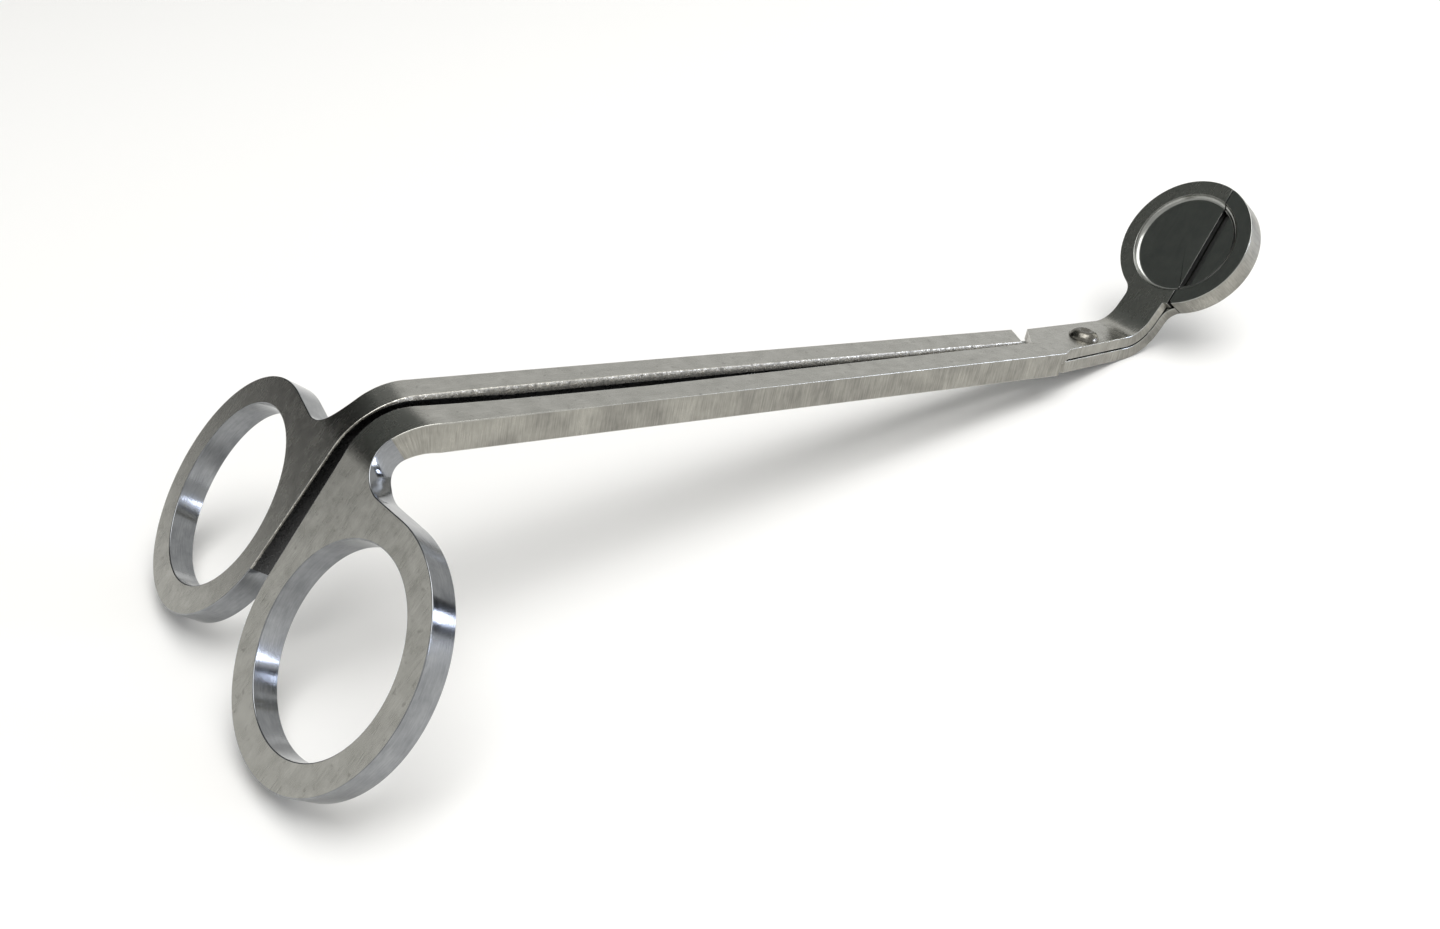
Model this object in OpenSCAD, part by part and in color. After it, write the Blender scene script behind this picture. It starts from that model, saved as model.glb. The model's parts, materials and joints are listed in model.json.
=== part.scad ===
// Wick trimmer: two crossed steel arms on one rivet. Each arm has a finger ring,
// a long flat shank, half of a lap joint at the pivot, a cranked neck and half of
// a shallow round dish. The trimmer lies closed, as it rests on a table: +X runs
// from the rings to the dish, +Z is up, and the origin is on the table under the
// middle of the whole. Everything is drawn with the top of the shanks level and
// the pivot at 0, 0, and is laid down on the table at the end. Millimetres.

/* [Shank] */
// From the pivot to the start of the handle bend
shank_length = 122; // [90:1:160]
// Thickness of the steel in the shanks
shank_thick = 4.1; // [3.5:0.1:6]
// Half width over both arms, beside the pivot
shank_half = 5.2; // [4.6:0.1:7]
// How much that half width grows by the handle bend
shank_flare = 1.2; // [0:0.1:3]
// Half of the slit between the arms, beside the pivot
slit_half = 0.25; // [0.1:0.05:0.5]
// How much half of the slit grows by the handle bend
slit_flare = 1.75; // [1:0.05:2.5]

/* [Handle] */
// Angle between the shank and the plane of the rings
handle_angle = 59.5; // [30:0.5:75]
// Radius of the handle bend, on top
handle_radius = 11.2; // [8:0.1:16]
// How far the line of the bend is turned from square, which cants each ring
handle_skew = 4; // [0:0.5:8]
// Radius of the hole for a finger
ring_hole = 13; // [10:0.5:16]
// Width of the metal around the hole
ring_wall = 4; // [3:0.1:6]
// Thickness of the rings
ring_thick = 3.6; // [3:0.1:5]
// From the end of the bend to the middle of the ring
ring_reach = 17.5; // [15:0.5:30]
// Radius of the throat between shank and ring
throat_radius = 5.3; // [3:0.1:6.5]

/* [Lap joint] */
// Thickness of the upper plate at the pivot, the neck and the upper blade
upper_thick = 1.95; // [1.5:0.05:2.5]
// Gap between the two plates, away from the boss
plate_gap = 0.25; // [0.2:0.05:0.5]
// Thickness of the lower plate
lower_thick = 2.2; // [1.8:0.1:3]
// Radius of the raised boss that the plates turn on
boss_radius = 3.4; // [2.8:0.1:3.8]
// Play between the boss and the upper plate, and under the rivet's head
seat_play = 0.02; // [0.01:0.01:0.05]
// Width of the notch between a shoulder and the plate beside it
notch_width = 3.5; // [2:0.1:5]

/* [Rivet] */
// Radius of the rivet's shaft
shaft_radius = 1.6; // [1.2:0.1:2]
// Play around the shaft in the upper plate
shaft_play = 0.05; // [0.02:0.01:0.1]
// Radius of the rivet's head
head_radius = 2.6; // [2.3:0.1:3.2]
// Height of the rivet's head
head_height = 1.3; // [0.8:0.1:2]
// Radius of the peened tail
tail_radius = 2.2; // [2.1:0.1:3]
// Height of the peened tail
tail_height = 0.5; // [0.3:0.1:0.8]

/* [Neck] */
// From the pivot to the start of the neck bend
neck_start = 9.1; // [8:0.1:14]
// Angle between the shank and the plane of the dish
neck_angle = 60; // [40:1:75]
// Radius of the neck bend, on top
neck_radius = 5.7; // [4:0.1:9]
// Near side of the neck, from the middle line
neck_near = 1.8; // [1:0.1:2.5]
// Far side of the neck, from the middle line
neck_far = 5.8; // [5:0.1:6.5]
// From the end of the neck bend to the middle of the dish
dish_reach = 15.1; // [14:0.1:20]

/* [Dish] */
// Outer radius of the dish
dish_radius = 11.95; // [10.5:0.05:13]
// Middle of the dish, from the middle line
dish_offset = 1.9; // [1:0.1:3]
// Radius of the flat floor
floor_radius = 8.95; // [7:0.05:9.2]
// Depth of the floor on the upper blade
floor_depth = 0.8; // [0.5:0.05:1.2]
// Radius of the hollow curve that joins floor and rim
rim_curve = 1.6; // [1.2:0.1:2]
// Where the cutting edge crosses the middle of the dish
edge_offset = 1.5; // [0.5:0.1:3]
// Angle of the cutting edge to the middle line
edge_angle = 6.3; // [2:0.1:8]
// Play between the two blades' rims where they meet
edge_play = 0.12; // [0.05:0.01:0.3]
// How far the lower blade reaches under the upper one
blade_overlap = 3.5; // [2:0.1:6]
// Width of the bevel on the lower rim's end at the tip
tip_bevel = 1.9; // [1:0.1:3]

/* [Hidden] */
$fn = 128;
steel = [0.62, 0.61, 0.58];
rivet_steel = [0.5, 0.5, 0.48];
// Small overlaps that keep joined or cut solids from only touching
eps = 0.01;
hair = 0.002;
graze = 0.03;
seam = 0.4;
seam_angle = 1;
// Reach of what is cut away: over everything, of blocks cut to shape, and through one plate
big = 400;
wide = 60;
through = 20;

// Depths below the top face of the upper plate
lower_top = upper_thick + plate_gap;
lap_depth = lower_top + lower_thick;

// Slopes of the two long sides of an arm, seen from above
slit_slope = slit_flare / shank_length;
flare_slope = shank_flare / shank_length;

// The handle bend's line crosses the middle of the arm here
bend_y = slit_half + (shank_half + shank_flare) / 2 + slit_flare / 2;
ring_radius = ring_hole + ring_wall;
// The ring's inner side is ground flat, this far inside its round edge
ring_flat = 0.3;
ring_middle_y = side_of_slit(shank_length + handle_radius * sin(handle_angle)
    + ring_reach * cos(handle_angle)) - ring_flat + ring_radius;
// The throat's middle lies this far round the handle bend, and cuts this far into the side
throat_turn = handle_angle * 0.62;
throat_cut = 0.1;
// The straight edge between throat and ring lies this far inside the throat's wall
web_step = 0.15;
web_width = 30;

// Corners of the lap joint, seen from above
shoulder_x = -13.6;
near_shoulder_x = -10.2;
shoulder_lean = 2.2;
notch_lean = 1.2;
plate_x = shoulder_x + notch_width + notch_lean;
plate_side = shank_half - 0.2;
lap_near = 4;
lap_corner_x = -7.4;
lap_inset = 0.5;
// Each plate reaches this far into the shank it belongs to, the lower one from below
upper_root = 2;
lower_root = 1.5;
lower_end_x = near_shoulder_x - 1.4;
// Radii of the hollow corners between neck and disc
far_corner = 2.5;
near_corner = 3;

// Bevel on the lower rim's end, and the dimple and straight edge of the rivet's ends
tip_angle = 25;
dimple_radius = 1.6;
dimple_depth = 0.25;
cap_edge_share = 0.3;

// Half of the slit, and half of the width, at a distance from the pivot
function side_of_slit(away) = slit_half + slit_slope * away;
function side_of_arm(away) = shank_half + flare_slope * away;

// A point moved from the handle's own frame, and from the dish's own frame
function turn_y(p, a) = [p.x * cos(a) + p.z * sin(a), p.y, -p.x * sin(a) + p.z * cos(a)];
function turn_z(p, a) = [p.x * cos(a) - p.y * sin(a), p.x * sin(a) + p.y * cos(a), p.z];
function handle_turn(p) = turn_z(turn_y(p, -handle_angle), -handle_skew);
function handle_point(p) = handle_turn(p + [0, 0, handle_radius])
    + [-shank_length, bend_y, -handle_radius];
function dish_point(p) = turn_y(p - [0, 0, neck_radius], -neck_angle)
    + [neck_start, 0, neck_radius];

// The ring's middle, found so that its flat inner side lines up with the slit
ring_side = (ring_middle_y - handle_point([-ring_reach, 0, 0]).y) / cos(handle_skew);
ring_centre = handle_point([-ring_reach, ring_side, 0]);
ring_normal = handle_turn([0, 0, 1]);
dish_middle = dish_point([dish_reach, dish_offset, -lap_depth]);

// How high the rings' ends stand above the neck's underside, for a given tilt
function ring_low(tilt) =
    let (up = turn_y(ring_normal, tilt), c = turn_y(ring_centre - ring_thick * ring_normal, tilt))
    c.z - ring_radius * sqrt(1 - up.z * up.z);
function neck_low(tilt) =
    turn_y([neck_start, 0, neck_radius], tilt).z - neck_radius - lap_depth;
// The tilt at which both touch the table, by halving the range
function settle(low, high, steps) =
    let (mid = (low + high) / 2)
    steps == 0 ? mid
    : ring_low(mid) > neck_low(mid) ? settle(low, mid, steps - 1)
    : settle(mid, high, steps - 1);
rest_tilt = settle(0, 35, 40);
table_z = neck_low(rest_tilt);

// The two ends of the whole along X, once it is tilted
ring_up = turn_y(ring_normal, rest_tilt);
end_rings = turn_y(ring_centre, rest_tilt).x - ring_radius * sqrt(1 - ring_up.x * ring_up.x);
end_dish = turn_y(dish_middle, rest_tilt).x + dish_radius * cos(neck_angle - rest_tilt);
middle_x = (end_rings + end_dish) / 2;

module lay_down() {
    translate([-middle_x, 0, -table_z]) rotate([0, rest_tilt, 0]) children();
}

// The handle's own frame: top of the ring at z = 0, -x away from the bend
module on_handle(turn = handle_angle) {
    translate([-shank_length, bend_y, -handle_radius])
        rotate([0, 0, -handle_skew])
            rotate([0, -turn, 0])
                translate([0, 0, handle_radius]) children();
}

// The dish's own frame: top of the rim at z = 0, +x away from the neck bend
module on_dish() {
    translate([neck_start, 0, neck_radius])
        rotate([0, -neck_angle, 0])
            translate([0, 0, -neck_radius]) children();
}

// A flat outline as a plate between two depths
module plate(top, bottom) {
    translate([0, 0, -bottom]) linear_extrude(bottom - top) children();
}

// A flat strip bent round a line along y. Its ends stop short of the two tangent lines and its
// hollow side lies a hair deeper, so that the straight plates on both sides overlap it cleanly.
module bend(inner, thick, low_y, high_y, start, turn) {
    rotate([90, 0, 0]) rotate([0, 0, start + seam_angle])
        rotate_extrude(angle = turn - 2 * seam_angle)
            translate([inner + hair, -high_y]) square([thick - hair, high_y - low_y]);
}

// Shank, bend and ring of the far arm, whole up to the pivot
module bar() {
    throat_y = throat_radius - throat_cut + side_of_arm(shank_length) - bend_y
        - handle_radius * sin(throat_turn) * sin(handle_skew);
    throat_x = -shank_length - handle_radius * sin(throat_turn);
    difference() {
        union() {
            // shank
            translate([-shank_length, bend_y, 0]) rotate([0, 0, -handle_skew])
                translate([-seam, -wide, -shank_thick])
                    cube([shank_length + wide, 2 * wide, shank_thick]);
            // bend
            translate([-shank_length, bend_y, -handle_radius]) rotate([0, 0, -handle_skew])
                bend(handle_radius - shank_thick, shank_thick, -wide, wide, 90, handle_angle);
            // ring plate and the web that joins it to the bend
            on_handle() {
                translate([-ring_reach, ring_side, -ring_thick])
                    cylinder(r = ring_radius, h = ring_thick);
                translate([-ring_reach, ring_side - web_width, -ring_thick])
                    cube([ring_reach + seam, web_width, ring_thick]);
            }
        }
        // finger hole
        on_handle() translate([-ring_reach, ring_side, -through / 2])
            cylinder(r = ring_hole, h = through);
        // ground inner side, one plane from the ring to the pivot
        plate(-big, big) polygon([[big, side_of_slit(-big)], [big, -big],
            [-big, -big], [-big, side_of_slit(big)]]);
        // outer side of the shank
        plate(-big, big) polygon([[throat_x, side_of_arm(-throat_x)], [throat_x, big],
            [big, big], [big, side_of_arm(-big)]]);
        // throat, and the straight edge between it and the ring
        on_handle(throat_turn) translate([0, throat_y, -wide / 2])
            cylinder(r = throat_radius, h = wide);
        on_handle(throat_turn) translate([web_step - throat_radius, throat_y, -wide / 2])
            cube([wide, 2 * wide, wide]);
    }
}

// Outlines of the dish, seen square to its face, with the neck bend's end at x = 0
module edge_side(shift) {
    translate([dish_reach, shift - edge_offset]) rotate(edge_angle)
        translate([-wide / 2, 0]) square([wide, wide]);
}
module dish_disc() {
    translate([dish_reach, dish_offset]) circle(dish_radius);
}
module neck_strip() {
    translate([-seam, -neck_near]) square([dish_reach / 2 + seam, neck_near + neck_far]);
}
// Hollow corner between one side of the neck and the disc: what fills it, and what hollows it.
// The hollow cuts a little into both, so that it never only grazes them.
function corner_centre(side, wall, radius) =
    let (rise = wall - side * dish_offset + radius,
        back = sqrt(pow(dish_radius + radius, 2) - rise * rise))
    [dish_reach - back, side * (wall + radius)];
module corner_fill(side, wall, radius) {
    centre = corner_centre(side, wall, radius);
    polygon([[centre.x, side * (wall - 1)], centre, [dish_reach, dish_offset]]);
}
module corner_hollow(side, wall, radius) {
    on_dish() translate(concat(corner_centre(side, wall, radius), -through / 2))
        cylinder(r = radius + graze, h = through);
}

// The bend of the neck between two depths
module neck_bend(top, bottom) {
    translate([neck_start, 0, neck_radius])
        bend(neck_radius + top, bottom - top, hair - neck_near, neck_far - hair, -90, neck_angle);
}

// What is cut from the top of a dish half: hollow curve, then floor
module dish_hollow(depth) {
    on_dish() translate([dish_reach, dish_offset, 0]) rotate_extrude() {
        translate([0, -depth]) square([floor_radius, depth + 1]);
        intersection() {
            translate([floor_radius, rim_curve - floor_depth]) circle(rim_curve);
            translate([floor_radius - eps, -floor_depth]) square([rim_curve, floor_depth + 1]);
        }
    }
}

// Both lap plates share their two long sides
lap_far_end = [neck_start + seam, neck_far];
lap_near_end = [neck_start + seam, -neck_near];

module near_arm() {
    color(steel) lay_down() difference() {
        union() {
            // ring, bend and shank, whole up to the near shoulder
            difference() {
                mirror([0, 1, 0]) bar();
                plate(-big, big) polygon([[near_shoulder_x - shoulder_lean, 1],
                    [near_shoulder_x - shoulder_lean, -slit_half],
                    [near_shoulder_x, -shank_half - 0.1],
                    [near_shoulder_x, -big], [big, -big], [big, 1]]);
            }
            // upper plate of the lap joint
            plate(0, upper_thick) polygon([
                [shoulder_x - upper_root, -side_of_slit(upper_root - shoulder_x) - hair],
                [shoulder_x + lap_inset, -slit_half - hair], [plate_x, plate_side], lap_far_end,
                lap_near_end, [lap_corner_x, -lap_near],
                [near_shoulder_x + ring_flat, hair - side_of_arm(-near_shoulder_x)],
                [shoulder_x - upper_root, hair - side_of_arm(upper_root - shoulder_x)]]);
            neck_bend(0, upper_thick);
            // upper blade
            on_dish() {
                plate(0, upper_thick) neck_strip();
                plate(0, upper_thick) intersection() {
                    dish_disc();
                    edge_side(0);
                }
                plate(0, upper_thick) corner_fill(1, neck_far, far_corner);
            }
        }
        corner_hollow(1, neck_far, far_corner);
        dish_hollow(floor_depth);
        translate([0, 0, -through / 2]) cylinder(r = shaft_radius + shaft_play, h = through);
    }
}

module far_arm() {
    color(steel) lay_down() difference() {
        union() {
            // ring, bend and shank, whole up to the far shoulder
            difference() {
                bar();
                plate(-big, big) polygon([[shoulder_x - 1, -1], [shoulder_x - 1, slit_half],
                    [shoulder_x - 1 + shoulder_lean, shank_half + 0.1],
                    [shoulder_x - 1 + shoulder_lean, big], [big, big], [big, -1]]);
            }
            // lower plate of the lap joint
            plate(lower_top, lap_depth) polygon([
                [shoulder_x - lower_root, side_of_slit(1 - shoulder_x) + hair],
                [lower_end_x, slit_half + hair], [lap_corner_x - lap_inset, -lap_near - 0.05],
                [lap_corner_x, -lap_near], lap_near_end, lap_far_end, [plate_x, plate_side],
                [shoulder_x + shoulder_lean - lap_inset,
                    side_of_arm(1 - shoulder_x - shoulder_lean) - hair],
                [shoulder_x - lower_root, side_of_arm(lower_root - shoulder_x) - hair]]);
            translate([0, 0, -lower_top - 1])
                cylinder(r = boss_radius, h = 1 + plate_gap - seat_play);
            neck_bend(lower_top, lap_depth);
            // lower blade
            on_dish() {
                plate(lower_top, lap_depth) neck_strip();
                plate(lower_top, lap_depth) difference() {
                    dish_disc();
                    edge_side(blade_overlap);
                }
                plate(lower_top, lap_depth) corner_fill(-1, neck_near, near_corner);
            }
            // its rim, as high as the upper blade's
            on_dish() difference() {
                plate(0, lower_top + eps) difference() {
                    dish_disc();
                    edge_side(-edge_play);
                }
                translate([dish_reach, -edge_offset, 0]) rotate([0, 0, edge_angle])
                    rotate([tip_angle, 0, 0])
                        translate([0, -tip_bevel, 0]) cube([wide, through, through]);
            }
        }
        corner_hollow(-1, neck_near, near_corner);
        dish_hollow(lower_top);
        translate([0, 0, -through / 2]) cylinder(r = shaft_radius, h = through);
    }
}

module pivot_rivet() {
    color(rivet_steel) lay_down() {
        translate([0, 0, -lap_depth]) cylinder(r = shaft_radius, h = lap_depth + seat_play + eps);
        // domed head with a shallow dimple
        translate([0, 0, seat_play]) rotate_extrude()
            rivet_cap(head_radius, head_height, dimple_depth);
        // peened tail
        translate([0, 0, -lap_depth]) mirror([0, 0, 1]) rotate_extrude()
            rivet_cap(tail_radius, tail_height, 0);
    }
}

// Half section of a low dome: a short straight edge, then an arc
module rivet_cap(radius, height, dimple) {
    edge = height * cap_edge_share;
    rise = height - edge;
    curve = (radius * radius + rise * rise) / (2 * rise);
    difference() {
        intersection() {
            translate([0, height - curve]) circle(curve);
            square([radius, height]);
        }
        if (dimple > 0)
            translate([0, height + dimple_radius - dimple]) circle(dimple_radius);
    }
}

far_arm();
near_arm();
pivot_rivet();
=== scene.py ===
import json
from math import acos, atan2, ceil, cos, pi, radians, sin, sqrt, tan

import bpy
from mathutils import Matrix, Vector


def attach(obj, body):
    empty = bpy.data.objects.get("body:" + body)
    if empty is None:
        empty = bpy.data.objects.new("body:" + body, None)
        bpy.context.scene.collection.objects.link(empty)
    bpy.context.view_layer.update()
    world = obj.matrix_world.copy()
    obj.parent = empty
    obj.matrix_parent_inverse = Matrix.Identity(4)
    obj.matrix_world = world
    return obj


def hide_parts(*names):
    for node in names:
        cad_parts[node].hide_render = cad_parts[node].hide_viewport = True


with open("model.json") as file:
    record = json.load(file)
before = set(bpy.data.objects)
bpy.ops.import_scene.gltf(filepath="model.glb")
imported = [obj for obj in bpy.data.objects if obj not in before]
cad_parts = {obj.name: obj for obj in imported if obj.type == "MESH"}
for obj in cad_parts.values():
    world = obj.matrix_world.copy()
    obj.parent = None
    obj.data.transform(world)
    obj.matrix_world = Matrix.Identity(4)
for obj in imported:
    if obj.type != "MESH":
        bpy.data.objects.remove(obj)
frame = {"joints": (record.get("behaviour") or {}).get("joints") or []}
for leftover in ("Cube", "Light", "Camera"):
    if leftover in bpy.data.objects:
        bpy.data.objects.remove(bpy.data.objects[leftover])
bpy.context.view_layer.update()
print("frame loaded")

# Each arm is drawn as a flat blank in millimetres, with the pivot at 0, 0 and the top at z = 0.
# The blank is bent at the handle and at the neck, and laid down on the table in metres.

pivot = Vector(frame["joints"][0]["pos_m"])
pivotAxis = Vector(frame["joints"][0]["axis"])
tilt = atan2(pivotAxis.x, pivotAxis.z)
layDown = Matrix.Translation(pivot) @ Matrix.Rotation(tilt, 4, "Y") @ Matrix.Scale(0.001, 4)

# both arms share these
shank = {
    "length": 122, "thick": 4.1,      # pivot to handle bend, and thickness
    "half": 5.2, "flare": 1.2,        # half width over both arms, and its growth to the bend
    "slit": 0.25, "slitFlare": 1.75,  # half of the slit between the arms, and its growth
    "slitEnd": -14,                   # where the slit stops short of the lapped plates
}
handle = {
    "angle": radians(59.5), "radius": 11.2, "skew": radians(4), "steps": 24,
    # the finger ring, and the throat between ring and shank
    "hole": 13, "holeSteps": 144, "wall": 4, "thick": 3.6, "reach": 17.5, "flat": 0.3,
    "flatReach": 3, "throat": 5.3, "throatAlong": 7.2, "throatDeeper": 1.15,
    # how far bending pressed the slit's side out: place along the handle and share of the most
    "swell": ((32, 0), (22, 0.12), (12, 0.28), (5, 0.5), (0, 0.75), (-3, 0.93), (-6, 1),
              (-9, 0.85), (-12, 0.6)),
    "ringSwell": 0.1,
}
plate = {
    "upper": 1.95, "gap": 0.25,                              # the upper plate's thickness
    "farCorner": (-8.9, 5.0), "nearCorner": (-7.4, -4.0),    # where both plates turn to the neck
}
neck = {
    "start": 9.1, "angle": radians(60), "radius": 5.7, "steps": 20,
    "near": -1.8, "far": 5.8,               # its two sides
    "farCorner": 2.5, "nearCorner": 3.0,    # radii where it meets the disc
}
dish = {
    "reach": 15.1, "offset": 1.9, "radius": 11.95,   # middle, from the neck's bend and the pivot
    "depth": 0.8, "steps": 144, "curveSteps": 10, "toolAbove": 3,
    "edge": -1.5, "edgeAngle": radians(6.3),         # the cutting edge's line across the disc
}
arcStep = radians(2.5)
weld = 0.001        # points nearer than this are one
drillLength = 40

bendMiddle = shank["slit"] + (shank["half"] + shank["flare"] + shank["slitFlare"]) / 2
bendLength = handle["radius"] * handle["angle"]
ringRadius = handle["hole"] + handle["wall"]
slitSlope = shank["slitFlare"] / shank["length"]
sideSlope = shank["flare"] / shank["length"]
dishZero = neck["start"] + neck["radius"] * neck["angle"]   # where the flat neck leaves its bend
dishMiddle = Vector((dishZero + dish["reach"], dish["offset"]))
edgeAlong = Vector((cos(dish["edgeAngle"]), sin(dish["edgeAngle"])))
lowerTop = -plate["upper"] - plate["gap"]


def clearSelection():
    if bpy.context.object and bpy.context.object.mode != "OBJECT":
        bpy.ops.object.mode_set(mode="OBJECT")
    bpy.ops.object.select_all(action="DESELECT")


def takeUp(piece):
    clearSelection()
    piece.select_set(True)
    bpy.context.view_layer.objects.active = piece


def pick(piece, keepFace):
    # in edit mode, select the faces that keepFace accepts
    bpy.ops.mesh.select_all(action="DESELECT")
    bpy.ops.object.mode_set(mode="OBJECT")
    for face in piece.data.polygons:
        face.select = keepFace(face)
    bpy.ops.object.mode_set(mode="EDIT")


def isBottom(face):
    return face.normal.z < -0.9


def startPoint(name, x, y, z=0):
    # a single point to draw on from, in edit mode
    clearSelection()
    bpy.ops.mesh.primitive_plane_add(size=1, location=(x, y, z))
    piece = bpy.context.object
    piece.name = name
    bpy.ops.object.transform_apply(location=True)
    bpy.ops.object.mode_set(mode="EDIT")
    bpy.ops.mesh.select_mode(type="VERT")
    bpy.ops.mesh.select_all(action="SELECT")
    bpy.ops.mesh.merge(type="CENTER")
    return piece


def extrudeBy(x, y, z):
    bpy.ops.mesh.extrude_region_move(TRANSFORM_OT_translate={"value": (x, y, z)})


def turnRound(centre, steps):
    # spin the drawn profile into a closed round piece
    bpy.ops.mesh.select_all(action="SELECT")
    bpy.ops.mesh.spin(steps=steps, angle=2 * pi, center=(*centre, 0), axis=(0, 0, 1))
    bpy.ops.mesh.select_all(action="SELECT")
    bpy.ops.mesh.remove_doubles(threshold=weld)
    bpy.ops.mesh.normals_make_consistent(inside=False)
    bpy.ops.object.mode_set(mode="OBJECT")


def drawOutline(name, start, path):
    # a flat face drawn as by hand: each step is (point, None) or (point, centre, clockwise)
    piece = startPoint(name, *start)
    here = Vector(start)
    for point, centre, *clockwise in path:
        point = Vector(point)
        if centre is None:
            extrudeBy(*(point - here), 0)
        else:
            before, after = here - Vector(centre), point - Vector(centre)
            turn = (atan2(before.y, before.x) - atan2(after.y, after.x)) % (2 * pi)
            turn = turn if clockwise[0] else turn - 2 * pi
            bpy.ops.mesh.spin(steps=ceil(abs(turn) / arcStep), angle=turn,
                              center=(*centre, 0), axis=(0, 0, 1))
        here = point
    bpy.ops.mesh.select_all(action="SELECT")
    bpy.ops.mesh.remove_doubles(threshold=weld)
    bpy.ops.mesh.edge_face_add()
    return piece


def thicken(depth):
    bpy.ops.mesh.select_all(action="SELECT")
    extrudeBy(0, 0, depth)
    bpy.ops.mesh.select_all(action="SELECT")
    bpy.ops.mesh.normals_make_consistent(inside=False)


def cutWith(piece, cutter):
    takeUp(piece)
    cut = piece.modifiers.new("cut", "BOOLEAN")
    cut.operation = "DIFFERENCE"
    cut.object = cutter
    cut.solver = "EXACT"
    bpy.ops.object.modifier_apply(modifier="cut")
    bpy.data.objects.remove(cutter)


def drill(piece, x, y, radius, vertices):
    clearSelection()
    bpy.ops.mesh.primitive_cylinder_add(vertices=vertices, radius=radius, depth=drillLength,
                                        location=(x, y, 0))
    bpy.ops.object.transform_apply(location=True)
    cutWith(piece, bpy.context.object)


def sideOfSlit(away):
    return shank["slit"] + slitSlope * away


def sideOfArm(away):
    return shank["half"] + sideSlope * away


# The handle's own directions lie askew to the shank: x runs back across the bend, y along it.
def fromHandle(x, y):
    c, s = cos(handle["skew"]), sin(handle["skew"])
    return Vector((c * x + s * y - shank["length"], bendMiddle - s * x + c * y))


def sideInHandle(x, offset, slope):
    # where a long side, offset + slope * away from the pivot, crosses the handle at x
    c, s = cos(handle["skew"]), sin(handle["skew"])
    return (offset + slope * shank["length"] - bendMiddle + x * (s - slope * c)) / (c + slope * s)


def handlePath(swell):
    # along the slit to the ring, round it, through the throat and out to the arm's side
    radius, angle = handle["radius"], handle["angle"]
    path = []
    for along, share in handle["swell"]:
        turn = max(-along, 0) / radius
        flat = sideInHandle(max(along, 0) - radius * sin(turn), shank["slit"], slitSlope)
        path.append((fromHandle(along, flat - swell * share), None))
    # the ring, whose flat lies on the slit's line once it is bent down
    over = radius * sin(angle) + handle["reach"] * cos(angle)
    level = (sideOfSlit(shank["length"] + over) - handle["flat"] + ringRadius - bendMiddle
             - over * sin(handle["skew"])) / cos(handle["skew"])
    ring = Vector((-bendLength - handle["reach"], level))
    end = radius * sin(angle) + (handle["reach"] + handle["flatReach"]) * cos(angle)
    flatSide = (sideInHandle(-end, shank["slit"], slitSlope) - level
                - handle["ringSwell"] * swell)
    flatHalf = sqrt(ringRadius ** 2 - flatSide ** 2)
    middle = fromHandle(*ring)
    path.append((fromHandle(ring.x - flatHalf, level + flatSide), None))
    # the throat, an arc that touches the ring and ends on the arm's side
    outer = sideInHandle(0, shank["half"], sideSlope)
    throat = Vector((-handle["throatAlong"], outer - handle["throatDeeper"] + handle["throat"]))
    apart = throat - ring
    lean = atan2(apart.y, apart.x) + acos((ringRadius + handle["throat"]) / apart.length)
    leave = Vector((cos(lean), sin(lean)))
    path.append((fromHandle(*(ring + ringRadius * leave)), middle, True))
    path.append((fromHandle(*(throat - handle["throat"] * leave)), None))
    reach = Vector((0, outer)) - throat
    lean = atan2(reach.y, reach.x) - acos(handle["throat"] / reach.length)
    touch = throat + handle["throat"] * Vector((cos(lean), sin(lean)))
    path.append((fromHandle(*touch), fromHandle(*throat), False))
    path.append((fromHandle(0, outer), None))
    return path, middle


def mirroredBack(start, path):
    # the same path walked the other way, on the near side
    points = [Vector(start)] + [step[0] for step in path]
    back = []
    for here, (_, centre, *clockwise) in zip(points[-2::-1], path[::-1]):
        centre = None if centre is None else (centre[0], -centre[1])
        back.append(((here[0], -here[1]), centre, *clockwise))
    return back


# Points of the dish, unrolled
def edgeAt(x, shift):
    return shift + (x - dishMiddle.x) * tan(dish["edgeAngle"])


def edgeEnd(shift, side):
    # where the cutting edge's line leaves the disc, at the tip (1) or at the neck (-1)
    start = Vector((0, shift - dish["offset"]))
    back = start.dot(edgeAlong)
    return dishMiddle + start + (side * sqrt(back ** 2 - start.length_squared
                                             + dish["radius"] ** 2) - back) * edgeAlong


def cornerCentre(side, wall, radius):
    rise = side * (wall - dish["offset"]) + radius
    return Vector((dishMiddle.x - sqrt((dish["radius"] + radius) ** 2 - rise ** 2),
                   wall + side * radius))


def cornerTouch(centre):
    return dishMiddle + (centre - dishMiddle).normalized() * dish["radius"]


def hollowOut(piece, depth, floor, curve):
    # the dish's hollow, cut with a turned tool: floor, wall and a round shoulder
    rise = curve - dish["depth"]
    turn = acos(rise / curve)
    tool = startPoint("hollowTool", *dishMiddle, -depth)
    extrudeBy(floor, 0, 0)
    if depth > dish["depth"]:
        extrudeBy(0, 0, depth - dish["depth"])
    bpy.ops.mesh.spin(steps=dish["curveSteps"], angle=turn, axis=(0, 1, 0),
                      center=(dishMiddle.x + floor, dishMiddle.y, rise))
    extrudeBy(0, 0, dish["toolAbove"])
    extrudeBy(-floor - curve * sin(turn), 0, 0)
    turnRound(dishMiddle, dish["steps"])
    cutWith(piece, tool)


# The rivet: dimple, dome, shaft and peened tail, from the middle of the head down
rivet = {
    "shaft": 1.6, "play": 0.05, "holeSteps": 48, "steps": 64, "dimpleTop": 0.95,
    "outline": ((0.55, 1.0), (0.95, 1.22), (1.2, 1.28), (1.6, 1.2), (2.0, 0.98), (2.35, 0.62),
                (2.55, 0.25), (2.6, 0.02), (1.6, 0), (1.6, -4.5), (2.2, -4.5), (2.15, -4.75),
                (1.8, -4.95), (0.9, -5.0), (0, -5.0)),
}


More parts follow.
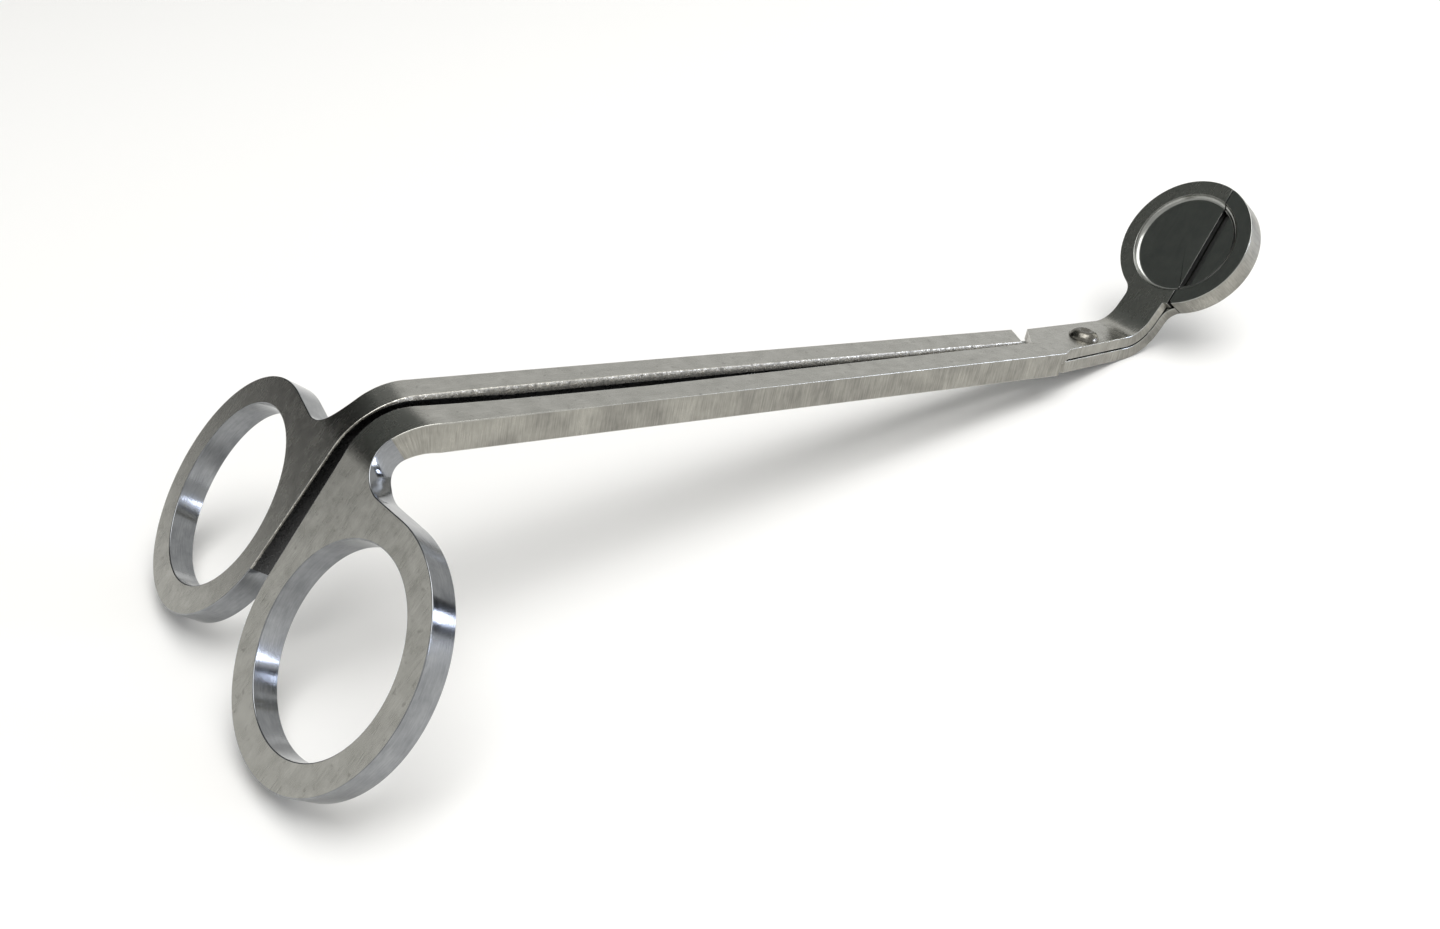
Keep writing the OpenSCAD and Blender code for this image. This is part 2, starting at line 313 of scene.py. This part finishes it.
def makeRivet():
    piece = startPoint("pivotRivet", 0, 0, rivet["dimpleTop"])
    lastX, lastZ = 0, rivet["dimpleTop"]
    for x, z in rivet["outline"]:
        extrudeBy(x - lastX, 0, z - lastZ)
        lastX, lastZ = x, z
    turnRound((0, 0), rivet["steps"])
    return piece


# The far arm lies underneath: lower plate, and the dish's near half with its rim
lower = {
    "swell": 0.9, "sideEnd": -11.9, "end": (-11.6, 0.25), "corner": (-7.9, -4.05),
    "step": 0.3, "stepAt": -15.1,                  # the plate lies a little below the shank
    "shoulder": ((-14.6, 0.25), (-12.4, 5.3)),     # at the slit and at the side
    "play": 0.12, "overlap": 3.5,                  # to the upper blade, and under it
    "rimRadius": 11.3, "rimEnd": radians(213.5),   # how far the raised rim goes round
    "floor": 8.4, "curve": 0.9,
    # how far the lap's cutter reaches past the plate on each side
    "pastSlit": 2, "pastSide": 9, "pastTip": 20, "pastRim": 16, "pastNear": -12, "cutDeep": 10,
}


def makeFarBlank():
    path, ring = handlePath(lower["swell"])
    near, far = neck["near"], neck["far"]
    edge = dish["edge"] + lower["overlap"]
    halfWay = dishZero + dish["reach"] / 2
    corner = cornerCentre(-1, near, neck["nearCorner"])
    path += [
        ((lower["sideEnd"], sideOfArm(-lower["sideEnd"])), None), (plate["farCorner"], None),
        ((neck["start"], far), None), ((halfWay, far), None),
        ((halfWay, edgeAt(halfWay, edge)), None), (edgeEnd(edge, 1), None),
        (cornerTouch(corner), dishMiddle, True), ((corner.x, near), corner, False),
        ((neck["start"], near), None), (plate["nearCorner"], None), (lower["corner"], None),
    ]
    piece = drawOutline("farArm", lower["end"], path)
    thicken(-shank["thick"])
    pick(piece, isBottom)
    bpy.ops.mesh.bisect(plane_co=(lower["stepAt"], 0, 0), plane_no=(1, 0, 0))
    pick(piece, lambda face: isBottom(face) and face.center.x > lower["stepAt"])
    extrudeBy(0, 0, -lower["step"])
    # cut the top down to the lower plate, from the shoulder to the dish's own rim
    (slitX, slitY), (sideX, sideY) = lower["shoulder"]
    lean = (sideX - slitX) / (sideY - slitY)
    startX, startY = slitX - lower["pastSlit"] * lean, slitY - lower["pastSlit"]
    sideX, sideY = slitX + lower["pastSide"] * lean, slitY + lower["pastSide"]
    tip = dishMiddle.x + lower["pastTip"]
    rimEdge = dish["edge"] - lower["play"]
    turnIn = edgeEnd(rimEdge, -1) + (dish["radius"] - lower["rimRadius"]) * edgeAlong
    rimAway = Vector((cos(lower["rimEnd"]), sin(lower["rimEnd"])))
    turnOut = dishMiddle + lower["pastRim"] * rimAway
    cutter = drawOutline("lapCutter", (startX, startY), [
        ((sideX, sideY), None), ((tip, sideY), None), ((tip, edgeAt(tip, rimEdge)), None),
        (turnIn, None), (turnOut, None), ((turnOut.x, lower["pastNear"]), None),
        ((startX, lower["pastNear"]), None),
    ])
    thicken(-lower["cutDeep"])
    bpy.ops.transform.translate(value=(0, 0, lower["cutDeep"] + lowerTop))
    bpy.ops.object.mode_set(mode="OBJECT")
    cutWith(piece, cutter)
    hollowOut(piece, -lowerTop, lower["floor"], lower["curve"])
    drill(piece, *ring, handle["hole"], handle["holeSteps"])
    drill(piece, 0, 0, rivet["shaft"], rivet["holeSteps"])
    return piece


# The near arm lies on top: upper plate, and the dish's far half, which is the upper blade
upper = {
    "swell": 1.5, "sideEnd": -9.9, "notch": (-13.1, -0.25),
    "shoulder": ((-12.4, -0.25), (-10.2, -5.3)),   # at the slit and at the side
    "floor": 8.3, "curve": 1.0,
}


def makeNearBlank():
    handleSide, ring = handlePath(upper["swell"])
    near, far = neck["near"], neck["far"]
    edge = dish["edge"]
    corner = cornerCentre(1, far, neck["farCorner"])
    rimSide = near - dish["offset"]
    onRim = dishMiddle + Vector((-sqrt(dish["radius"] ** 2 - rimSide ** 2), rimSide))
    handleEnd = handleSide[-1][0]
    path = [
        (plate["farCorner"], None), ((neck["start"], far), None), ((corner.x, far), None),
        (cornerTouch(corner), corner, False), (edgeEnd(edge, 1), dishMiddle, True),
        (edgeEnd(edge, -1), None), (onRim, dishMiddle, True), ((neck["start"], near), None),
        (plate["nearCorner"], None), ((upper["sideEnd"], -sideOfArm(-upper["sideEnd"])), None),
        ((handleEnd[0], -handleEnd[1]), None),
    ]
    path += mirroredBack(upper["notch"], handleSide)[:-1]
    piece = drawOutline("nearArm", upper["notch"], path)
    thicken(-plate["upper"])
    # the shank is thicker than the upper plate, up to its shoulder
    (slitX, slitY), (sideX, sideY) = upper["shoulder"]
    across = Vector((slitY - sideY, sideX - slitX, 0)).normalized()
    pick(piece, isBottom)
    bpy.ops.mesh.bisect(plane_co=(slitX, slitY, 0), plane_no=across)
    pick(piece, lambda face: isBottom(face)
         and (face.center - Vector((slitX, slitY, 0))).dot(across) < 0)
    extrudeBy(0, 0, plate["upper"] - shank["thick"])
    bpy.ops.object.mode_set(mode="OBJECT")
    hollowOut(piece, dish["depth"], upper["floor"], upper["curve"])
    drill(piece, ring[0], -ring[1], handle["hole"], handle["holeSteps"])
    drill(piece, 0, 0, rivet["shaft"] + rivet["play"], rivet["holeSteps"])
    return piece


# Edges: the punch rolled the slit's top edge over, the rest were barrelled a little round
edges = {
    "roll": 0.3, "rollDepth": 1.05, "rollReach": 2.8, "rollPast": 1, "slitReach": 3,
    "width": 0.14, "steps": 3, "angle": radians(32),
}


def rollSlit(piece, side):
    # a steep, narrow slope down to the torn part
    takeUp(piece)
    bpy.ops.object.mode_set(mode="EDIT")
    bpy.ops.mesh.select_mode(type="FACE")
    pick(piece, lambda face: abs(face.normal.z) < 0.2 and face.center.x < shank["slitEnd"]
         and side * face.center.y < edges["slitReach"] and side * face.normal.y < -0.5)
    bpy.ops.mesh.bisect(plane_co=(0, 0, -edges["rollDepth"]), plane_no=(0, 0, 1))
    bpy.ops.mesh.select_mode(type="VERT")
    bpy.ops.mesh.select_all(action="DESELECT")
    bpy.ops.object.mode_set(mode="OBJECT")
    for vertex in piece.data.vertices:
        x, y, z = vertex.co
        vertex.select = (z > -0.01 and -shank["length"] - edges["rollPast"] < x < shank["slitEnd"]
                         and side * y < edges["rollReach"])
    bpy.ops.object.mode_set(mode="EDIT")
    bpy.ops.transform.translate(value=(0, side * edges["roll"], 0))
    bpy.ops.object.mode_set(mode="OBJECT")


def roundEdges(piece):
    takeUp(piece)
    bevel = piece.modifiers.new("rounded", "BEVEL")
    bevel.width = edges["width"]
    bevel.segments = edges["steps"]
    bevel.limit_method = "ANGLE"
    bevel.angle_limit = edges["angle"]
    bevel.use_clamp_overlap = False
    bpy.ops.object.modifier_apply(modifier="rounded")


def cutLoops(piece, points, normal):
    takeUp(piece)
    bpy.ops.object.mode_set(mode="EDIT")
    for point in points:
        bpy.ops.mesh.select_all(action="SELECT")
        bpy.ops.mesh.bisect(plane_co=(*point, 0), plane_no=(*normal, 0))
    bpy.ops.object.mode_set(mode="OBJECT")


def cutForBends(piece, side):
    c, s = cos(handle["skew"]), sin(handle["skew"])
    steps = handle["steps"]
    lines = [fromHandle(-bendLength * k / steps, 0) for k in range(steps + 1)]
    cutLoops(piece, [(x, side * y) for x, y in lines], (c, -side * s))
    length, steps = neck["radius"] * neck["angle"], neck["steps"]
    cutLoops(piece, [(neck["start"] + length * k / steps, 0) for k in range(steps + 1)], (1, 0))


def bendHandle(piece, side):
    # the skewed bend, and the ring a little thinner than the shank
    c, s = cos(handle["skew"]), sin(handle["skew"])
    radius, angle = handle["radius"], handle["angle"]
    for vertex in piece.data.vertices:
        x, y, z = vertex.co
        x, y = x + shank["length"], side * y - bendMiddle
        back, along = s * y - c * x, s * x + c * y
        if back <= 0:
            continue
        share = min(back / bendLength, 1)
        z *= 1 + share * (handle["thick"] / shank["thick"] - 1)
        turn, rest = angle * share, max(back - bendLength, 0)
        back = (radius + z) * sin(turn) + rest * cos(turn)
        z = (radius + z) * cos(turn) - rest * sin(turn) - radius
        vertex.co = (s * along - c * back - shank["length"],
                     side * (bendMiddle + s * back + c * along), z)


def bendNeck(piece):
    radius, angle = neck["radius"], neck["angle"]
    length = radius * angle
    for vertex in piece.data.vertices:
        x, y, z = vertex.co
        over = x - neck["start"]
        if over <= 0:
            continue
        turn, rest = angle * min(over / length, 1), max(over - length, 0)
        vertex.co = (neck["start"] + (radius - z) * sin(turn) + rest * cos(turn), y,
                     radius - (radius - z) * cos(turn) + rest * sin(turn))


def toLinear(hexColour):
    # sRGB hex to the linear colour a shader takes
    values = [int(hexColour[i:i + 2], 16) / 255 for i in (1, 3, 5)]
    return [v / 12.92 if v <= 0.04045 else ((v + 0.055) / 1.055) ** 2.4 for v in values] + [1]


def addNode(tree, kind, links=(), into=(), values=(), **settings):
    # links are (input, node, output), into are (output, node, input), values are (input, value)
    node = tree.nodes.new(kind)
    for name, value in settings.items():
        if name in node.bl_rna.properties:
            setattr(node, name, value)
        else:
            node.inputs[name.replace("_", " ")].default_value = value
    for place, value in values:
        node.inputs[place].default_value = value
    for place, source, output in links:
        tree.links.new(source.outputs[output], node.inputs[place])
    for output, target, place in into:
        tree.links.new(node.outputs[output], target.inputs[place])
    return node


def steel(name, colour, shade, rough, roughSpread, marks, markDepth, patch=2.5, pits=0, stains=0):
    # marks: how many per millimetre along x, y, z of the flat blank; small numbers draw them out
    # markDepth and pits: depth in metres; patch: size of the lighter and darker patches in mm
    material = bpy.data.materials.new(name)
    material.use_nodes = True
    tree = material.node_tree
    shader = tree.nodes["Principled BSDF"]
    shader.inputs["Metallic"].default_value = 1
    blank = addNode(tree, "ShaderNodeAttribute", attribute_name="blank")
    along = addNode(tree, "ShaderNodeMapping", [("Vector", blank, "Vector")], Scale=marks)
    scratches = addNode(tree, "ShaderNodeTexNoise", [("Vector", along, "Vector")],
                        Scale=1.0, Detail=5.0, Roughness=0.65)
    patches = addNode(tree, "ShaderNodeTexNoise", [("Vector", blank, "Vector")],
                      Scale=1 / patch, Detail=3.0, Roughness=0.6)
    # lighter and darker patches where the wheel pressed more or less
    blend = addNode(tree, "ShaderNodeMath", [(0, patches, "Fac"), (1, scratches, "Fac")],
                    operation="ADD")
    tone = addNode(tree, "ShaderNodeMapRange", [("Value", blend, "Value")], From_Min=0.75,
                   From_Max=1.25, To_Min=0.0, To_Max=1.0)
    tint = addNode(tree, "ShaderNodeMix", [(0, tone, "Result")], [(2, shader, "Base Color")],
                   [(6, toLinear(shade)), (7, toLinear(colour))], data_type="RGBA")
    if stains:
        # small dull water spots
        spot = addNode(tree, "ShaderNodeTexNoise", [("Vector", blank, "Vector")], Scale=0.9,
                       Detail=2.0, Roughness=0.5)
        dull = addNode(tree, "ShaderNodeMapRange", [("Value", spot, "Fac")], From_Min=0.64,
                       From_Max=0.72, To_Min=0.0, To_Max=stains)
        addNode(tree, "ShaderNodeMix", [("Factor", dull, "Result"), (6, tint, 2)],
                [(2, shader, "Base Color")], [(7, toLinear("#6a6862"))], data_type="RGBA")
    addNode(tree, "ShaderNodeMapRange", [("Value", blend, "Value")],
            [("Result", shader, "Roughness")], From_Min=0.75, From_Max=1.25,
            To_Min=rough + roughSpread, To_Max=rough - roughSpread)
    fine = addNode(tree, "ShaderNodeBump", [("Height", scratches, "Fac")],
                   [("Normal", shader, "Normal")], Strength=1.0, Distance=markDepth)
    if pits:
        grain = addNode(tree, "ShaderNodeTexNoise", [("Vector", blank, "Vector")],
                        Scale=4.0, Detail=4.0, Roughness=0.7)
        addNode(tree, "ShaderNodeBump", [("Height", grain, "Fac"), ("Normal", fine, "Normal")],
                [("Normal", shader, "Normal")], Strength=1.0, Distance=pits)
    return material


def shearedSteelWithPaintedShade(name):
    # a bright smooth zone under the top edge where the punch cut, and below it near-black painted
    # shade where the slit lies in shadow
    material = steel(name, "#f0ede4", "#8c8981", 0.3, 0.08, (2.5, 2.5, 2.5), 0.00002, patch=0.6,
                     pits=0.00004)
    tree = material.node_tree
    shader = tree.nodes["Principled BSDF"]
    bright = shader.inputs["Base Color"].links[0].from_node
    bend = -shank["length"]
    blank = addNode(tree, "ShaderNodeAttribute", attribute_name="blank")
    place = addNode(tree, "ShaderNodeSeparateXYZ", [("Vector", blank, "Vector")])
    ragged = addNode(tree, "ShaderNodeTexNoise", [("Vector", blank, "Vector")], Scale=1.5,
                     Detail=3.0)
    # the bright zone is deep along the shank and thins out round the handle bend
    deep = addNode(tree, "ShaderNodeMapRange", [("Value", place, "X")], From_Min=bend - 6,
                   From_Max=bend + 14, To_Min=0.3, To_Max=1.05)
    level = addNode(tree, "ShaderNodeMath", [(0, place, "Z"), (1, deep, "Result")],
                    operation="ADD")
    waver = addNode(tree, "ShaderNodeMath", [(0, ragged, "Fac"), (2, level, "Value")],
                    values=[(1, 0.2)], operation="MULTIPLY_ADD")
    mask = addNode(tree, "ShaderNodeMapRange", [("Value", waver, "Value")], From_Min=0.0,
                   From_Max=0.12, To_Min=0.0, To_Max=1.0)
    # the painted shade is lighter towards the ring's end
    paintedSlitShade = addNode(tree, "ShaderNodeMapRange", [("Value", place, "X")], From_Min=bend - 42,
                   From_Max=bend - 16, To_Min=0.13, To_Max=0.03)
    addNode(tree, "ShaderNodeMix",
            [("Factor", mask, "Result"), (6, paintedSlitShade, "Result"), (7, bright, 2)],
            [(2, shader, "Base Color")], data_type="RGBA")
    return material


steels = [
    # broad faces: belt brushed along the arm, a soft warm grey
    steel("stainlessSatinBrushed", "#bdbcb6", "#a5a49e", 0.25, 0.05, (0.25, 7, 7), 0.000004,
          stains=0.35),
    # long sides: ground across, so fine upright marks in lighter and darker patches
    steel("stainlessCrossGround", "#a4a29a", "#7f7d77", 0.34, 0.08, (4.5, 0.3, 0.3), 0.00002,
          patch=5),
    # bores, throats and ring walls: polished with a soft wheel, sharp highlights
    steel("stainlessPolished", "#97999b", "#7f8184", 0.13, 0.04, (0.5, 0.5, 5), 0.000004),
    # slit faces: sheared, bright and grainy where the punch cut, and painted near-black shade
    # below it
    shearedSteelWithPaintedShade("stainlessShearedWithPaintedShade"),
    # the upper blade's edge: ground, and painted near-black as shade
    steel("stainlessEdgePaintedShade", "#333335", "#161617", 0.36, 0.08, (2, 0.6, 2), 0.00001),
    # dish and neck: finely polished, it mirrors the dark room
    steel("stainlessFinePolished", "#a5a6a2", "#929390", 0.2, 0.03, (0.3, 6, 6), 0.000002),
    # rivet: turned and peened, darker than the arms
    steel("stainlessTurned", "#8a8780", "#57554f", 0.24, 0.05, (3, 3, 3), 0.00001),
]
satin, crossGround, polished, shearedAndPaintedShade, edgePaintedShade, finePolished, turned = range(len(steels))
print("steels mixed")

# where one finish gives way to the next, in mm on the flat blank; a broad face is flatter than
# "broad", and a rounded edge on it than "rounded"
seams = {
    "slitReach": 3, "boreRim": 0.5, "ringRim": 0.4, "throatStart": -shank["length"] - 4,
    "chordStart": dishZero + 3, "chordWidth": 0.1, "broad": 0.98, "rounded": 0.2,
}


def coatWith(piece, side):
    # sort the flat blank's faces by where they lie
    for material in steels:
        piece.data.materials.append(material)
    ring = handlePath(0)[1]
    for face in piece.data.polygons:
        place = Vector((face.center.x, side * face.center.y))
        toRing = (place - ring).length
        up = abs(face.normal.z)
        atHandle, atNeck = place.x < seams["throatStart"], place.x > neck["start"]
        inSlit = (place.x < shank["slitEnd"] and place.y < seams["slitReach"]
                  and toRing > handle["hole"] + seams["boreRim"]
                  and side * face.normal.y < -0.3 and face.normal.z < 0.9)
        offChord = abs(face.center.y - edgeAt(place.x, dish["edge"]))
        # slit faces: sheared steel above, painted shade below
        if inSlit:
            kind = shearedAndPaintedShade
        # the upper blade's edge wall: painted dark as shade
        elif side < 0 and place.x > seams["chordStart"] and offChord < seams["chordWidth"]:
            kind = edgePaintedShade
        elif up > seams["broad"]:
            kind = finePolished if atNeck else satin
        elif up > seams["rounded"]:
            kind = polished if atHandle else finePolished if atNeck else satin
        elif toRing < ringRadius + seams["ringRim"] or atHandle:
            kind = polished
        else:
            kind = crossGround
        face.material_index = kind


def keepBlank(piece):
    # each point remembers its place on the flat blank, so the grain follows the bends
    kept = piece.data.attributes.new("blank", "FLOAT_VECTOR", "POINT")
    for vertex, value in zip(piece.data.vertices, kept.data):
        value.vector = vertex.co


def finish(piece, body, node):
    piece.data.transform(layDown)
    takeUp(piece)
    bpy.ops.object.shade_smooth_by_angle(angle=edges["angle"])
    even = piece.modifiers.new("even", "WEIGHTED_NORMAL")
    even.keep_sharp = True
    bpy.ops.object.modifier_apply(modifier="even")
    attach(piece, body)
    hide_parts(node)


farArm = makeFarBlank()
print("far arm blank drawn")
nearArm = makeNearBlank()
print("near arm blank drawn")
pivotRivet = makeRivet()
pivotRivet.data.materials.append(steels[turned])
keepBlank(pivotRivet)
print("rivet turned")
for arm, side in ((farArm, 1), (nearArm, -1)):
    rollSlit(arm, side)
    roundEdges(arm)
    coatWith(arm, side)
    cutForBends(arm, side)
    keepBlank(arm)
    bendHandle(arm, side)
    bendNeck(arm)
print("arms rounded, coated and bent")
finish(pivotRivet, "far_arm_body", "pivot_rivet")
finish(farArm, "far_arm_body", "far_arm")
finish(nearArm, "near_arm_body", "near_arm")
print("pieces laid on the table")

# The view, in metres
view = {
    "lens": 35.75, "sensor": 36, "clip": 0.01, "place": (-0.11392, -0.14863, 0.12150),
    "ahead": (0.46046, 0.70204, -0.54325), "right": (0.83723, -0.54684, 0.00295),
}
camera = bpy.data.objects.new("camera", bpy.data.cameras.new("camera"))
bpy.context.collection.objects.link(camera)
camera.data.lens = view["lens"]
camera.data.sensor_width = view["sensor"]
camera.data.clip_start = view["clip"]
ahead, toRight = Vector(view["ahead"]).normalized(), Vector(view["right"]).normalized()
camera.matrix_world = Matrix.Translation(view["place"]) @ Matrix(
    (toRight, toRight.cross(ahead), -ahead)).transposed().to_4x4()
bpy.context.scene.camera = camera
bpy.context.scene.view_settings.view_transform = "Standard"

# Studio: place, size in metres, then power and colour. All of it faces the trimmer.
lamps = {
    "softboxTop": ((0.1, -0.15, 1.1), (1.1, 0.8), 9.5, "#ffffff"),
    "softboxWindow": ((0.95, -0.74, 0.19), (0.36, 0.2), 3.2, "#dfe8ff"),
    "softboxLow": ((1.05, -0.25, 0.13), (0.14, 0.08), 0.5, "#dfe8ff"),
}
cards = {
    "darkCardBack": ((-0.31, 0.775, 1.0), (2.0, 1.0), "#5a5e5c"),
    "darkCardLow": ((-0.42, 1.2, 0.40), (1.0, 0.71), "#060606"),
    "darkCardFront": ((1.2, -0.25, 0.12), (0.5, 0.3), "#080808"),
}


def facing(place, aim, front):
    return (Vector(aim) - Vector(place)).to_track_quat(front, "Y").to_euler()


def makeCard(name, place, size, colour, aim=(0, 0, 0), seen=False):
    # matt paper; the cards beside the table show only as dark patches in the steel
    clearSelection()
    bpy.ops.mesh.primitive_plane_add(size=1, location=place)
    card = bpy.context.object
    card.name = name
    card.rotation_euler = facing(place, aim, "Z")
    card.scale = (*size, 1)
    bpy.ops.object.transform_apply(location=True, rotation=True, scale=True)
    matt = bpy.data.materials.new(name)
    matt.use_nodes = True
    shader = matt.node_tree.nodes["Principled BSDF"]
    shader.inputs["Base Color"].default_value = toLinear(colour)
    shader.inputs["Roughness"].default_value = 0.9
    card.data.materials.append(matt)
    card.visible_camera = seen


makeCard("floorPaper", (0, 0, 0), (6, 6), "#f4f3f1", aim=(0, 0, 1), seen=True)
world = bpy.data.worlds.new("studio")
world.use_nodes = True
world.node_tree.nodes["Background"].inputs["Color"].default_value = toLinear("#dcdcda")
world.node_tree.nodes["Background"].inputs["Strength"].default_value = 1.0
bpy.context.scene.world = world
for name, (place, size, power, colour) in lamps.items():
    lamp = bpy.data.lights.new(name, "AREA")
    lamp.shape = "RECTANGLE"
    lamp.size, lamp.size_y = size
    lamp.energy = power
    lamp.color = toLinear(colour)[:3]
    holder = bpy.data.objects.new(name, lamp)
    bpy.context.collection.objects.link(holder)
    holder.location = place
    holder.rotation_euler = facing(place, (0, 0, 0), "-Z")
for name, (place, size, colour) in cards.items():
    makeCard(name, place, size, colour)
print("camera, lamps and cards set")
